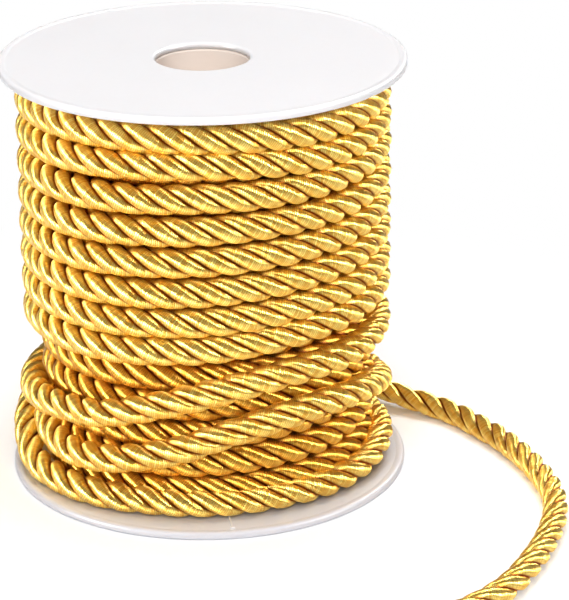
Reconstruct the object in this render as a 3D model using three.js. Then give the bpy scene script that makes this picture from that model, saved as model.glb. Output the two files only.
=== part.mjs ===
// Gold three-ply twisted cord wound on a plastic reel, with its loose end lying beside it.
// Millimetres, +Z up. The origin is the centre of the reel's underside; -Y is the front.
import * as THREE from 'three';

// Driving dimensions of the reel
const REEL_HEIGHT = 69.4;
const FLANGE_RADIUS = 32.5;
const FLANGE_THICKNESS = 1.25;
const RIM_ROUNDING = 0.3;
const BORE_RADIUS = 7.5;
const HUB_RADIUS = 9.5;
const FIT_GAP = 0.3;
const REEL_SEGMENTS = 48;

// Driving dimensions of the cord
const TURN_RADIUS = 2.4;
const LOOSE_LAY = 13.5;
const VALLEY_SHARE = 0.68;
const FLANK_SHARE = 0.92;

// The buried layer that the gaps between the outer turns show
const INNER_LAYER = { radius: 24.9, pitch: 4.85, height: 24.2, bearing: 228 };
const INNER_LOWEST = 3.9;
const INNER_HIGHEST = 65.4;
const BURIED_SURFACE = 25.4;

// The wound solid's own grid
const WOUND_COLUMNS = 54;
const WOUND_ROWS = 72;

// Bearings are degrees about the reel's axis, anticlockwise from +X; the front is 270.
// Heights of each neat turn's centre line at three bearings of the front.
const FRONT_BEARINGS = [315, 268, 221];
const NEAT_RADIUS = 27.7;
const NEAT_TURNS = [
  [64.0, 64.5, 64.2],
  [59.6, 60.4, 59.2],
  [55.3, 55.0, 53.8],
  [50.4, 49.9, 48.5],
  [45.7, 44.8, 43.5],
  [41.0, 39.8, 38.6],
  [36.3, 34.9, 33.8],
  [32.0, 30.4, 29.0],
];
// Behind the reel a neat turn falls to the next one: bearing, share of the fall
const BACK_STEPS = [[150, 0.3], [60, 0.7]];
// The cord climbs out of the buried layer under the top flange: bearing, radius, height
const FIRST_LAP = [
  [210, 25.2, 65.4],
  [150, 26.2, 65.5],
  [60, 27.5, 65.2],
];
// The three slack turns at the foot, down to the exit: bearing, radius, height
const SLACK_TURNS = [
  [
    [340, 27.9, 25.3], [318, 28.2, 25.4], [298, 28.3, 25.4], [280, 28.3, 24.2],
    [262, 28.3, 22.1], [245, 28.3, 19.5], [230, 28.4, 17.6], [215, 28.6, 16.6],
    [200, 28.8, 15.6], [184, 28.8, 14.8], [165, 28.6, 14.6], [140, 27.8, 14.6],
    [90, 27.2, 13.6], [50, 27.3, 12.4], [25, 27.8, 12.0],
  ],
  [
    [365, 28.1, 13.2], [350, 28.2, 15.4], [335, 28.1, 17.2], [320, 28.2, 18.2],
    [305, 28.3, 18.6], [290, 28.3, 17.9], [275, 28.3, 16.2], [261, 28.3, 13.6],
    [248, 28.3, 11.8], [236, 28.3, 10.4], [222, 28.2, 9.4], [205, 27.6, 9.3],
    [186, 26.6, 9.6], [172, 25.8, 8.2], [150, 26.0, 6.0], [120, 26.6, 4.6],
    [90, 26.9, 4.2], [60, 27.4, 4.0], [25, 28.0, 4.3],
  ],
  [
    [365, 28.2, 4.9], [352, 28.3, 5.2], [340, 28.2, 4.6], [325, 27.6, 3.9],
    [307, 26.8, 3.8], [290, 26.4, 3.8], [270, 26.6, 3.8], [250, 27.0, 3.8],
    [232, 28.2, 3.8], [215, 29.2, 3.8], [200, 30.0, 4.2], [186, 30.1, 6.4],
    [172, 30.0, 8.2], [150, 29.4, 9.6], [120, 29.4, 9.0], [90, 31.3, 5.8],
    [75, 31.9, 4.4], [62, 32.2, 3.9],
  ],
];

// The loose end's centre line, from the exit to the cut end: x, y, z, cord radius
const LOOSE_STEPS = 112;
const LOOSE_SIDES = 12;
const LOOSE_ROUTE = [
  [16.4, 27.7, 3.45, 1.8], [20.2, 25.6, 3.45, 1.8], [24.0, 23.1, 3.45, 1.85],
  [27.6, 20.5, 3.45, 1.85], [31.0, 17.9, 3.3, 1.9], [34.2, 15.7, 2.8, 1.9],
  [37.0, 14.0, 2.5, 1.95], [40.1, 12.0, 2.1, 2.0], [43.1, 8.6, 2.05, 2.0],
  [45.8, 4.4, 2.05, 2.0], [48.3, 0.2, 2.05, 2.0], [50.4, -4.4, 2.05, 2.0],
  [52.3, -9.6, 2.05, 2.0], [53.9, -15.6, 2.05, 2.0], [54.8, -21.6, 2.05, 2.0],
  [54.6, -27.6, 2.05, 2.0], [53.3, -33.8, 2.05, 2.0], [51.2, -40.2, 2.05, 2.0],
  [48.5, -46.4, 2.05, 2.0], [45.3, -52.4, 2.05, 2.0], [41.3, -57.6, 2.05, 2.0],
  [36.6, -61.8, 2.05, 2.0], [31.4, -65.0, 2.05, 2.0], [26.0, -67.2, 2.05, 2.0],
];

const radians = THREE.MathUtils.degToRad;

// A cubic curve through the rows of a table whose first column is the parameter
function smoothTable(rows) {
  const last = rows.length - 1;
  const slopes = rows.map((row, i) => {
    const before = rows[Math.max(i - 1, 0)];
    const after = rows[Math.min(i + 1, last)];
    return row.map((_, c) => (after[c] - before[c]) / (after[0] - before[0]));
  });
  return (parameter) => {
    let k = 0;
    while (k < last - 1 && parameter > rows[k + 1][0]) k += 1;
    const span = rows[k + 1][0] - rows[k][0];
    const s = (parameter - rows[k][0]) / span;
    const rise = s * s * (3 - 2 * s);
    const leave = s * (1 - s) * (1 - s) * span;
    const arrive = s * s * (s - 1) * span;
    return rows[k].map((start, c) =>
      start + (rows[k + 1][c] - start) * rise + slopes[k][c] * leave + slopes[k + 1][c] * arrive);
  };
}

// The outer layer's centre line as rows of angle travelled, radius and height.
// The cord is followed towards its loose end, so its bearing falls lap by lap.
function outerTurnRows() {
  const travelled = (lap, bearing) => 360 * lap - bearing;
  const rows = FIRST_LAP.map(([bearing, radius, height]) => [travelled(-1, bearing), radius, height]);
  const slackStart = SLACK_TURNS[0][0][2];
  NEAT_TURNS.forEach((heights, lap) => {
    heights.forEach((height, i) => rows.push([travelled(lap, FRONT_BEARINGS[i]), NEAT_RADIUS, height]));
    const fallFrom = heights[heights.length - 1];
    const fallTo = lap + 1 < NEAT_TURNS.length ? NEAT_TURNS[lap + 1][0] : slackStart;
    BACK_STEPS.forEach(([bearing, share]) => {
      rows.push([travelled(lap, bearing), NEAT_RADIUS, fallFrom + (fallTo - fallFrom) * share]);
    });
  });
  SLACK_TURNS.forEach((turn, i) => {
    const lap = NEAT_TURNS.length + i;
    turn.forEach(([bearing, radius, height]) => rows.push([travelled(lap, bearing), radius, height]));
  });
  return rows;
}

// How far a turn of the cord stands out from the axis at a height, or 0 off the turn
function standOut(radius, centreHeight, height) {
  const rise = height - centreHeight;
  const chord = TURN_RADIUS * TURN_RADIUS - rise * rise;
  return chord > 0 ? radius + Math.sqrt(chord) : 0;
}

// The winding's outer surface: the proudest turn at each bearing and height
function windingSurface() {
  const rows = outerTurnRows();
  const turnAt = smoothTable(rows);
  const start = rows[0][0];
  const end = rows[rows.length - 1][0];
  return (bearing, height) => {
    let reach = BURIED_SURFACE;
    const { radius, pitch, height: level, bearing: datum } = INNER_LAYER;
    const phase = level + (pitch * (bearing - datum)) / 360;
    for (let turn = Math.ceil((INNER_LOWEST - phase) / pitch); phase + turn * pitch < INNER_HIGHEST; turn += 1) {
      reach = Math.max(reach, standOut(radius, phase + turn * pitch, height));
    }
    for (let travel = Math.ceil((start + bearing) / 360) * 360 - bearing; travel <= end; travel += 360) {
      const [, turnRadius, turnHeight] = turnAt(travel);
      reach = Math.max(reach, standOut(turnRadius, turnHeight, height));
    }
    // The slack turns stay inside the square that the flanges fill
    const across = Math.max(Math.abs(Math.cos(radians(bearing))), Math.abs(Math.sin(radians(bearing))));
    return Math.min(reach, (FLANGE_RADIUS - RIM_ROUNDING) / across);
  };
}

// A closed ring: the same closed outline of [radius, height] points at every bearing
function ringGeometry(columns, outlineAt) {
  const positions = [];
  const indices = [];
  const count = outlineAt(0).length;
  for (let column = 0; column < columns; column += 1) {
    const bearing = (360 * column) / columns;
    const cos = Math.cos(radians(bearing));
    const sin = Math.sin(radians(bearing));
    outlineAt(bearing).forEach(([radius, height]) => positions.push(radius * cos, radius * sin, height));
    const here = column * count;
    const next = ((column + 1) % columns) * count;
    for (let i = 0; i < count; i += 1) {
      const j = (i + 1) % count;
      indices.push(here + i, next + i, next + j, here + i, next + j, here + j);
    }
  }
  const geometry = new THREE.BufferGeometry();
  geometry.setAttribute('position', new THREE.Float32BufferAttribute(positions, 3));
  geometry.setIndex(indices);
  geometry.computeVertexNormals();
  return geometry;
}

function plainRing(outline) {
  return ringGeometry(REEL_SEGMENTS, () => outline);
}

// A disc with the spindle hole and a softened rim, its outline anticlockwise in radius and height
function flange(name, underside) {
  const top = underside + FLANGE_THICKNESS;
  const flat = FLANGE_RADIUS - RIM_ROUNDING;
  const outline = [
    [BORE_RADIUS, underside],
    [flat, underside],
    [FLANGE_RADIUS, underside + RIM_ROUNDING],
    [FLANGE_RADIUS, top - RIM_ROUNDING],
    [flat, top],
    [BORE_RADIUS, top],
  ];
  const plastic = new THREE.MeshStandardMaterial({ color: 0xf4f2f2, roughness: 0.35, metalness: 0 });
  return named(name, plainRing(outline), plastic);
}

// The tube between the flanges that the first layer is wound on
function hub() {
  const foot = FLANGE_THICKNESS + FIT_GAP;
  const head = REEL_HEIGHT - FLANGE_THICKNESS - FIT_GAP;
  const outline = [[BORE_RADIUS, foot], [HUB_RADIUS, foot], [HUB_RADIUS, head], [BORE_RADIUS, head]];
  const board = new THREE.MeshStandardMaterial({ color: 0xe6d0c2, roughness: 0.8, metalness: 0 });
  return named('reel_hub', plainRing(outline), board);
}

// All the layers on the hub as one solid, with the outer turns raised on it
function woundCord(gold) {
  const surface = windingSurface();
  const foot = FLANGE_THICKNESS + FIT_GAP;
  const head = REEL_HEIGHT - FLANGE_THICKNESS - FIT_GAP;
  const inside = HUB_RADIUS + FIT_GAP;
  const outlineAt = (bearing) => {
    const outline = [[inside, foot]];
    for (let row = 0; row <= WOUND_ROWS; row += 1) {
      const height = foot + ((head - foot) * row) / WOUND_ROWS;
      outline.push([surface(bearing, height), height]);
    }
    outline.push([inside, head]);
    return outline;
  };
  return named('wound_cord', ringGeometry(WOUND_COLUMNS, outlineAt), gold);
}

// Reach of the three-ply section at a side of the loose end: crown, flank, valley, flank
function sectionShare(side) {
  const shares = [1, FLANK_SHARE, VALLEY_SHARE, FLANK_SHARE];
  return shares[side % shares.length];
}

// The free stretch, whose section turns once in each lay along it
function looseEnd(gold) {
  const chord = (a, b) => Math.hypot(b[0] - a[0], b[1] - a[1], b[2] - a[2]);
  let run = 0;
  const rows = LOOSE_ROUTE.map((point, i) => {
    if (i > 0) run += chord(LOOSE_ROUTE[i - 1], point);
    return [run, ...point];
  });
  const routeAt = smoothTable(rows);
  const up = new THREE.Vector3(0, 0, 1);
  const positions = [];
  const indices = [];
  const centreAt = (distance) => new THREE.Vector3(...routeAt(distance).slice(1, 4));
  for (let step = 0; step <= LOOSE_STEPS; step += 1) {
    const distance = (run * step) / LOOSE_STEPS;
    const centre = centreAt(distance);
    const radius = routeAt(distance)[4];
    const ahead = centreAt(Math.min(distance + 0.2, run));
    const behind = centreAt(Math.max(distance - 0.2, 0));
    const along = ahead.sub(behind).normalize();
    const side = new THREE.Vector3().crossVectors(up, along).normalize();
    const raised = new THREE.Vector3().crossVectors(along, side);
    for (let i = 0; i < LOOSE_SIDES; i += 1) {
      const angle = 2 * Math.PI * (i / LOOSE_SIDES + distance / LOOSE_LAY);
      const reach = radius * sectionShare(i);
      const point = centre.clone()
        .addScaledVector(side, reach * Math.cos(angle))
        .addScaledVector(raised, reach * Math.sin(angle));
      positions.push(point.x, point.y, point.z);
    }
  }
  const at = (step, i) => step * LOOSE_SIDES + (i % LOOSE_SIDES);
  for (let step = 0; step < LOOSE_STEPS; step += 1) {
    for (let i = 0; i < LOOSE_SIDES; i += 1) {
      indices.push(at(step, i), at(step, i + 1), at(step + 1, i));
      indices.push(at(step, i + 1), at(step + 1, i + 1), at(step + 1, i));
    }
  }
  const ends = [[0, centreAt(0)], [LOOSE_STEPS, centreAt(run)]];
  ends.forEach(([step, centre], end) => {
    const middle = positions.length / 3;
    positions.push(centre.x, centre.y, centre.z);
    for (let i = 0; i < LOOSE_SIDES; i += 1) {
      if (end === 0) indices.push(middle, at(step, i + 1), at(step, i));
      else indices.push(middle, at(step, i), at(step, i + 1));
    }
  });
  const geometry = new THREE.BufferGeometry();
  geometry.setAttribute('position', new THREE.Float32BufferAttribute(positions, 3));
  geometry.setIndex(indices);
  geometry.computeVertexNormals();
  return named('loose_end', geometry, gold);
}

function named(name, geometry, material) {
  const mesh = new THREE.Mesh(geometry, material);
  mesh.name = name;
  return mesh;
}

function build() {
  const gold = new THREE.MeshStandardMaterial({ color: 0xd9962f, roughness: 0.4, metalness: 0.1 });
  const reel = new THREE.Group();
  reel.add(flange('reel_flange_bottom', 0));
  reel.add(flange('reel_flange_top', REEL_HEIGHT - FLANGE_THICKNESS));
  reel.add(hub());
  const cord = new THREE.Group();
  cord.add(woundCord(gold));
  cord.add(looseEnd(gold.clone()));
  const group = new THREE.Group();
  group.add(reel, cord);
  return group;
}

const group = build();
export default group;
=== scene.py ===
"""Gold twisted cord wound on a white plastic reel, its loose end lying beside it.

Sizes in the tables are millimetres. Bearings are degrees about the reel's axis,
anticlockwise from +X seen from above, so the front is 270.
"""
import logging
import math
from dataclasses import dataclass, field
from enum import Enum

import bpy
import numpy as np
from mathutils import Matrix, Vector


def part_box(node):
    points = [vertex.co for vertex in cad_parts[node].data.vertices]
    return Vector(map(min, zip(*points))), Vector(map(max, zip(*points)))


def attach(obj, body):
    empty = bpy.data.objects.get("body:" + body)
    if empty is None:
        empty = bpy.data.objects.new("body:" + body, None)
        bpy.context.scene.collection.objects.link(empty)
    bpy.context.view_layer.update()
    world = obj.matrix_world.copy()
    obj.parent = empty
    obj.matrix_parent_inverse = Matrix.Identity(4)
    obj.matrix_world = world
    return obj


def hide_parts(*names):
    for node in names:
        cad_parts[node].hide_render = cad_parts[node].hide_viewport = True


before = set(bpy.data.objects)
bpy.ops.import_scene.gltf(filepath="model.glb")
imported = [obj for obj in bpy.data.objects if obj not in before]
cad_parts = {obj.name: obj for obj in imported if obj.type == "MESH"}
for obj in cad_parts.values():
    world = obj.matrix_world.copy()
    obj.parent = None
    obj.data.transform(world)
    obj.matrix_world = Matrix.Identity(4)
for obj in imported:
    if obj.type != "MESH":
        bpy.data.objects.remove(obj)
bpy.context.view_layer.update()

log = logging.getLogger("cord_on_reel")

MM = 0.001
THREADS_PER_CM = 42.0

# Heights of each neat turn's centre line at three bearings of the front
FRONT_BEARINGS = (315, 268, 221)
NEAT_RADIUS = 27.7
NEAT_TURNS = (
    (64.0, 64.5, 64.2),
    (59.6, 60.4, 59.2),
    (55.3, 55.0, 53.8),
    (50.4, 49.9, 48.5),
    (45.7, 44.8, 43.5),
    (41.0, 39.8, 38.6),
    (36.3, 34.9, 33.8),
    (32.0, 30.4, 29.0),
)
# Behind the reel a neat turn falls to the next one: bearing, share of the fall
BACK_STEPS = ((150, 0.3), (60, 0.7))
# The cord climbs out of the buried layer under the top flange: bearing, radius, height
FIRST_LAP = ((210, 25.2, 65.4), (150, 26.2, 65.5), (60, 27.5, 65.2))
# The three slack turns at the foot, down to the exit: bearing, radius, height
SLACK_TURNS = (
    (
        (340, 27.9, 25.3), (318, 28.2, 25.4), (298, 28.3, 25.4), (280, 28.3, 24.2),
        (262, 28.3, 22.1), (245, 28.3, 19.5), (230, 28.4, 17.6), (215, 28.6, 16.6),
        (200, 28.8, 15.6), (184, 28.8, 14.8), (165, 28.6, 14.6), (140, 27.8, 14.6),
        (90, 27.2, 13.6), (50, 27.3, 12.4), (25, 27.8, 12.0),
    ),
    (
        (365, 28.1, 13.2), (350, 28.2, 15.4), (335, 28.1, 17.2), (320, 28.2, 18.2),
        (305, 28.3, 18.6), (290, 28.3, 17.9), (275, 28.3, 16.2), (261, 28.3, 13.6),
        (248, 28.3, 11.8), (236, 28.3, 10.4), (222, 28.2, 9.4), (205, 27.6, 9.3),
        (186, 26.6, 9.6), (172, 25.8, 8.2), (150, 26.0, 6.0), (120, 26.6, 4.6),
        (90, 26.9, 4.2), (60, 27.4, 4.0), (25, 28.0, 4.3),
    ),
    (
        (365, 28.2, 4.9), (352, 28.3, 5.2), (340, 28.2, 4.6), (325, 27.6, 3.9),
        (307, 26.8, 3.8), (290, 26.4, 3.8), (270, 26.6, 3.8), (250, 27.0, 3.8),
        (232, 28.2, 3.8), (215, 29.2, 3.8), (200, 30.0, 4.2), (186, 30.1, 6.4),
        (172, 30.0, 8.2), (150, 29.4, 9.6), (120, 29.4, 9.0), (90, 31.3, 5.8),
        (75, 31.9, 4.4), (62, 32.2, 3.9),
    ),
)
# The loose end's centre line, from the exit to the cut end: x, y, z, cord radius
LOOSE_ROUTE = (
    (16.4, 27.7, 3.45, 1.8), (20.2, 25.6, 3.45, 1.8), (24.0, 23.1, 3.45, 1.85),
    (27.6, 20.5, 3.45, 1.85), (31.0, 17.9, 3.3, 1.9), (34.2, 15.7, 2.8, 1.9),
    (37.0, 14.0, 2.5, 1.95), (40.1, 12.0, 2.1, 2.0), (43.1, 8.6, 2.05, 2.0),
    (45.8, 4.4, 2.05, 2.0), (48.3, 0.2, 2.05, 2.0), (50.4, -4.4, 2.05, 2.0),
    (52.3, -9.6, 2.05, 2.0), (53.9, -15.6, 2.05, 2.0), (54.8, -21.6, 2.05, 2.0),
    (54.6, -27.6, 2.05, 2.0), (53.3, -33.8, 2.05, 2.0), (51.2, -40.2, 2.05, 2.0),
    (48.5, -46.4, 2.05, 2.0), (45.3, -52.4, 2.05, 2.0), (41.3, -57.6, 2.05, 2.0),
    (36.6, -61.8, 2.05, 2.0), (31.4, -65.0, 2.05, 2.0), (26.0, -67.2, 2.05, 2.0),
)


class Twist(Enum):
    """Which way the plies turn as the cord is followed."""

    RIGHT = 1
    LEFT = -1


class Shine(Enum):
    """What a light does: whether it is mirrored in gloss and whether it lights matt faces."""

    MIRRORED = (True, False)
    SCATTERED = (False, True)


Socket = bpy.types.NodeSocket
Value = "Socket | float | int | tuple | str | bpy.types.Material"
Outline = list[tuple[float, float]]


def smooth_table(rows: np.ndarray, at: np.ndarray) -> np.ndarray:
    """Reads a table on a cubic curve through its rows.

    Args:
        rows: The table, whose first column is the rising parameter.
        at: The parameters to read it at.

    Returns:
        One row of the table's columns for each parameter.
    """
    last = len(rows) - 1
    before = rows[np.maximum(np.arange(last + 1) - 1, 0)]
    after = rows[np.minimum(np.arange(last + 1) + 1, last)]
    slopes = (after - before) / (after[:, :1] - before[:, :1])
    k = np.clip(np.searchsorted(rows[:, 0], at, side="right") - 1, 0, last - 1)
    span = (rows[k + 1, 0] - rows[k, 0])[:, None]
    s = (at[:, None] - rows[k, :1]) / span
    rise = s * s * (3 - 2 * s)
    leave = s * (1 - s) ** 2 * span
    arrive = s * s * (s - 1) * span
    return rows[k] + (rows[k + 1] - rows[k]) * rise + slopes[k] * leave + slopes[k + 1] * arrive


@dataclass
class CordLine:
    """A stretch of the cord's centre line.

    Attributes:
        points: Centre line, in millimetres, one row for each point.
        girth: Cord radius at each point, in millimetres.
    """

    points: np.ndarray
    girth: np.ndarray

    @property
    def run(self) -> np.ndarray:
        """Distance along the line at each point."""
        steps = np.linalg.norm(np.diff(self.points, axis=0), axis=1)
        return np.concatenate([[0.0], np.cumsum(steps)])

    @property
    def length(self) -> float:
        """The line's whole length in millimetres."""
        return float(self.run[-1])

    def curve(self, name: str) -> bpy.types.Object:
        """Makes the line as a poly curve in metres, with the girth as its radius.

        Args:
            name: The object's name.

        Returns:
            The new curve object.
        """
        data = bpy.data.curves.new(name, "CURVE")
        data.dimensions = "3D"
        spline = data.splines.new("POLY")
        spline.points.add(len(self.points) - 1)
        places = np.column_stack([self.points * MM, np.ones(len(self.points))])
        spline.points.foreach_set("co", places.ravel())
        spline.points.foreach_set("radius", self.girth * MM)
        made = bpy.data.objects.new(name, data)
        bpy.context.scene.collection.objects.link(made)
        return made


@dataclass
class WindingRoute:
    """The way the cord takes round the reel and off it.

    Attributes:
        neat_girth: Cord radius in the neat turns, pressed against each other.
        slack_girth: Cord radius in the slack turns.
        exit_girth: Cord radius where it leaves the winding, drawn thin.
        step: Distance between points of a line, in degrees of bearing.
        loose_step: The same in the loose end, in millimetres.
        buried_radius: Centre line radius of the buried layer.
        buried_pitch: Rise of the buried layer in one turn.
        buried_level: Height of a buried turn at the datum bearing.
        buried_datum: That bearing.
        buried_low: Height of the lowest buried turn.
        buried_high: Height of the highest one.
        buried_girth: Cord radius in the buried layer.
        lead_in: Travelled angle of the lead-in turn under the buried layer, in degrees.
        lead_depth: How far that turn lies under the layer.
        end_depth: How far both ends sink, so that no cut end shows.
        sink: Travelled angle over which an end sinks, in degrees.
        climb: Travelled angle over which the lead-in turn comes up, in degrees.
    """

    neat_girth: float = 2.34
    slack_girth: float = 2.28
    exit_girth: float = 1.85
    step: float = 1.5
    loose_step: float = 0.5
    buried_radius: float = 24.9
    buried_pitch: float = 4.85
    buried_level: float = 24.2
    buried_datum: float = 228
    buried_low: float = 3.9
    buried_high: float = 65.4
    buried_girth: float = 2.4
    lead_in: float = 450
    lead_depth: float = 2.9
    end_depth: float = 4.5
    sink: float = 60
    climb: float = 90

    def outer_rows(self) -> np.ndarray:
        """Lists the outer layer, from the first lap to the exit.

        Returns:
            Rows of travelled angle, radius, height and girth.
        """
        rows = [(-360 - b, r, z, self.neat_girth) for b, r, z in FIRST_LAP]
        slack_start = SLACK_TURNS[0][0][2]
        for lap, heights in enumerate(NEAT_TURNS):
            for bearing, height in zip(FRONT_BEARINGS, heights):
                rows.append((360 * lap - bearing, NEAT_RADIUS, height, self.neat_girth))
            follows = NEAT_TURNS[lap + 1][0] if lap + 1 < len(NEAT_TURNS) else slack_start
            for bearing, share in BACK_STEPS:
                height = heights[-1] + (follows - heights[-1]) * share
                rows.append((360 * lap - bearing, NEAT_RADIUS, height, self.neat_girth))
        for i, turn in enumerate(SLACK_TURNS):
            lap = len(NEAT_TURNS) + i
            rows += [(360 * lap - b, r, z, self.slack_girth) for b, r, z in turn]
        rows[-1] = (*rows[-1][:3], self.exit_girth)
        return np.array(rows, float)

    @staticmethod
    def around(travel: np.ndarray, radius: np.ndarray, height: np.ndarray) -> np.ndarray:
        """Turns travelled angles into points.

        Args:
            travel: The angles, in degrees along the cord.
            radius: Distance from the axis at each.
            height: Height at each.

        Returns:
            One row for each point.
        """
        bearing = np.radians(-travel)
        return np.column_stack([radius * np.cos(bearing), radius * np.sin(bearing), height])

    def outer(self, start: float, end: float) -> CordLine:
        """Reads the outer layer between two travelled angles.

        Args:
            start: The first angle, in degrees.
            end: The last one.

        Returns:
            The stretch's centre line.
        """
        travel = np.arange(start, end + self.step / 2, self.step)
        rows = smooth_table(self.outer_rows(), travel)
        return CordLine(self.around(travel, rows[:, 1], rows[:, 2]), rows[:, 3])

    def whole(self) -> tuple[CordLine, float, float]:
        """Joins the outer layer and the loose end into one line.

        Returns:
            The line, and the distances along it where the slack turns and the loose end start.
        """
        rows = self.outer_rows()
        slack_from = 360 * len(NEAT_TURNS) - SLACK_TURNS[0][0][0]
        wound = self.outer(rows[0, 0], rows[-1, 0])
        route = np.array(LOOSE_ROUTE, float)
        chords = np.linalg.norm(np.diff(route[:, :3], axis=0), axis=1)
        run = np.concatenate([[0.0], np.cumsum(chords)])
        spacing = self.loose_step
        dense = smooth_table(np.column_stack([run, route]), np.arange(0, run[-1] + spacing / 2, spacing))
        line = CordLine(
            np.vstack([wound.points, dense[:, 1:4]]), np.concatenate([wound.girth, dense[:, 4]])
        )
        neat_points = int(round((slack_from - rows[0, 0]) / self.step))
        return line, float(line.run[neat_points]), float(line.run[len(wound.points)])

    def buried(self) -> CordLine:
        """Makes the buried layer: a turn that climbs out of the core, then the rising turns.

        Returns:
            The layer's centre line.
        """
        start = -self.lead_in
        end = 360 * (self.buried_high - self.buried_low) / self.buried_pitch
        travel = np.arange(start, end, self.step)
        phase = (self.buried_low - self.buried_level) / self.buried_pitch * 360 + self.buried_datum
        height = self.buried_low + np.maximum(travel, 0) / 360 * self.buried_pitch
        angles = (start, start + self.sink, -self.climb, 0, end - self.sink, end)
        depths = (self.end_depth, self.lead_depth, self.lead_depth, 0, 0, self.end_depth)
        depth = np.interp(travel, angles, depths)
        radius = self.buried_radius - depth
        points = self.around(-(travel + phase), radius, height)
        return CordLine(points, np.full(len(travel), self.buried_girth))


def part_of(line: CordLine, start: float, end: float) -> CordLine:
    """Cuts a stretch out of a line, with a point at each cut.

    Args:
        line: The whole line.
        start: Distance of the first cut, in millimetres.
        end: Distance of the second.

    Returns:
        The stretch between them.
    """
    run = line.run
    inside = (run > start) & (run < end)
    at = np.concatenate([[start], run[inside], [end]])
    points = np.column_stack([np.interp(at, run, line.points[:, i]) for i in range(3)])
    return CordLine(points, np.interp(at, run, line.girth))


class NodeSheet:
    """Adds nodes to a tree and joins them."""

    def __init__(self, tree: bpy.types.NodeTree) -> None:
        """Works on one tree."""
        self.tree = tree

    def feed(self, socket: Socket, value: Value) -> None:
        """Gives an input a value or links it to an output.

        Args:
            socket: The input.
            value: A plain value, or the output to link from.
        """
        if isinstance(value, bpy.types.NodeSocket):
            self.tree.links.new(value, socket)
        else:
            socket.default_value = value

    def node(self, kind: str, settings: dict | None = None, **inputs: Value) -> bpy.types.Node:
        """Adds a node.

        Args:
            kind: The node's type.
            settings: Its properties.
            inputs: Its inputs by name, with _ for a space.

        Returns:
            The new node.
        """
        made = self.tree.nodes.new(kind)
        for name, value in (settings or {}).items():
            setattr(made, name, value)
        for name, value in inputs.items():
            wanted = name.replace("_", " ")
            socket = next(s for s in made.inputs if s.name == wanted and s.enabled)
            self.feed(socket, value)
        return made

    def sum(self, operation: str, *values: Value) -> Socket:
        """Adds a Math node.

        Args:
            operation: What it works out.
            values: Its inputs, in order.

        Returns:
            Its value.
        """
        made = self.tree.nodes.new("ShaderNodeMath")
        made.operation = operation
        for socket, value in zip(made.inputs, values):
            self.feed(socket, value)
        return made.outputs[0]

    def vector(self, operation: str, *values: Value) -> Socket:
        """Adds a Vector Math node.

        Args:
            operation: What it works out.
            values: Its inputs, in order.

        Returns:
            Its vector.
        """
        made = self.tree.nodes.new("ShaderNodeVectorMath")
        made.operation = operation
        slots = [made.inputs[0], made.inputs[3]] if operation == "SCALE" else made.inputs
        for socket, value in zip(slots, values):
            self.feed(socket, value)
        return made.outputs[0]

    def ramp(self, factor: Socket, low: float, high: float, start: float, end: float) -> Socket:
        """Maps a value smoothly from one range to another.

        Args:
            factor: The value.
            low: Where it starts to rise.
            high: Where it stops.
            start: The result at low and below.
            end: The result at high and above.

        Returns:
            The mapped value.
        """
        made = self.node(
            "ShaderNodeMapRange", {"interpolation_type": "SMOOTHSTEP"},
            Value=factor, From_Min=low, From_Max=high, To_Min=start, To_Max=end,
        )
        return made.outputs[0]

    def mix(self, factor: Value, first: Value, second: Value) -> Socket:
        """Mixes two colours.

        Args:
            factor: Share of the second one.
            first: The first colour.
            second: The second colour.

        Returns:
            The mixed colour.
        """
        made = self.tree.nodes.new("ShaderNodeMix")
        made.data_type = "RGBA"
        # The node's sockets of other data types come between its factor and its colours
        self.feed(made.inputs[0], factor)
        self.feed(made.inputs[6], first)
        self.feed(made.inputs[7], second)
        return made.outputs[2]


def coloured(red: float, green: float, blue: float) -> tuple[float, float, float, float]:
    """Adds full alpha to a linear colour."""
    return (red, green, blue, 1.0)


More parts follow.
